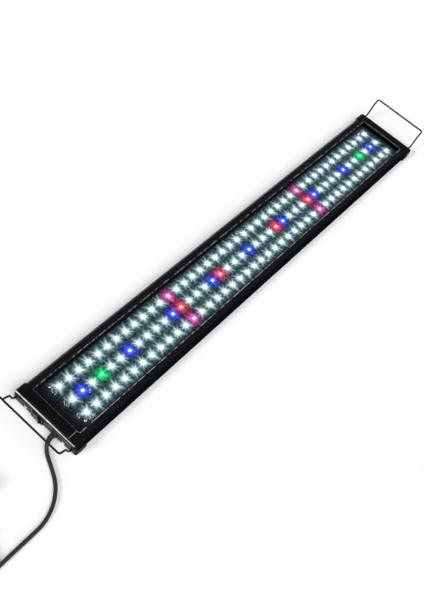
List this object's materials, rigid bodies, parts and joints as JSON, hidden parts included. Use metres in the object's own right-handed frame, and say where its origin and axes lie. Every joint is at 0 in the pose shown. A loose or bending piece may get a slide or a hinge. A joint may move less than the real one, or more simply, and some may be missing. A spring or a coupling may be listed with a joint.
{
  "type": "led aquarium light",
  "caption": "Slim aquarium light bar: LEDs on a board under a clear lens, black aluminium body, plastic end caps, sliding wire brackets, rocker switch and low-voltage lead.",
  "frame": {"origin": "centre of the flat back of the body, at mid length", "axes": "+X along the body to the plain end, with the switch and the lead at -X; +Z out of the lens; +Y across the body"},
  "size_m": [1.1583, 0.1606, 0.0429],
  "materials": {
    "anodised_body": "satin black anodised",
    "cap_plastic": "satin moulded",
    "black_rubber": "matte",
    "led_board": "solder-masked board",
    "circuit_board": "green solder mask",
    "clear_lens": "clear gloss",
    "thermal_pad": "matte",
    "bright_steel": "bright",
    "black_wire": "semi-gloss black coating",
    "red_insulation": "satin",
    "white_insulation": "satin",
    "contact_metal": "bright"
  },
  "bodies": {
    "fixture": {"body_extrusion": "anodised_body", "led_board": "led_board", "thermal_pad": "thermal_pad", "board_screw_1": "bright_steel", "board_screw_2": "bright_steel", "board_screw_3": "bright_steel", "board_screw_4": "bright_steel", "board_screw_5": "bright_steel", "board_screw_6": "bright_steel", "lens_panel": "clear_lens", "lens_seal_left": "black_rubber", "lens_seal_right": "black_rubber", "end_cap_power": "cap_plastic", "cap_cover_power": "cap_plastic", "cap_gasket_power": "black_rubber", "cap_screw_power_left": "bright_steel", "leg_bush_power_left": "black_rubber", "cap_screw_power_right": "bright_steel", "leg_bush_power_right": "black_rubber", "switch_body": "cap_plastic", "switch_pin": "bright_steel", "switch_terminal_1": "contact_metal", "switch_wire_1": "black_rubber", "switch_terminal_2": "contact_metal", "switch_wire_2": "black_rubber", "switch_terminal_3": "contact_metal", "switch_wire_3": "black_rubber", "lead_gland": "black_rubber", "junction_board": "circuit_board", "terminal_block": "white_insulation", "lead_core_positive": "red_insulation", "lead_core_negative": "black_rubber", "board_wire_positive": "red_insulation", "board_wire_negative": "black_rubber", "end_cap_far": "cap_plastic", "cap_cover_far": "cap_plastic", "cap_gasket_far": "black_rubber", "cap_screw_far_left": "bright_steel", "leg_bush_far_left": "black_rubber", "cap_screw_far_right": "bright_steel", "leg_bush_far_right": "black_rubber", "lead_strain_relief": "black_rubber", "lead": "black_rubber", "lead_coil": "black_rubber", "coil_tie": "cap_plastic", "lead_tail": "black_rubber", "adapter_strain_relief": "black_rubber", "adapter_base": "cap_plastic", "adapter_cover": "cap_plastic", "adapter_board": "circuit_board", "adapter_blade_left": "bright_steel", "adapter_blade_right": "bright_steel"},
    "bracket_power": {"bracket_power": "black_wire", "leg_stop_power_left": "bright_steel", "leg_stop_power_right": "bright_steel"},
    "bracket_far": {"bracket_far": "black_wire", "leg_stop_far_left": "bright_steel", "leg_stop_far_right": "bright_steel"},
    "rocker": {"switch_rocker": "cap_plastic"}
  },
  "joints": [
    {"name": "bracket_power_slide", "type": "slide", "parent": "fixture", "child": "bracket_power", "axis": [-1, 0, 0], "range_m": [-0.0012, 0.091]},
    {"name": "bracket_far_slide", "type": "slide", "parent": "fixture", "child": "bracket_far", "axis": [1, 0, 0], "range_m": [-0.0082, 0.084]},
    {"name": "mode_switch", "type": "hinge", "parent": "fixture", "child": "rocker", "pos_m": [-0.4411, 0.0125, 0.0104], "axis": [0, 0, 1], "range_deg": [0, 24]}
  ]
}
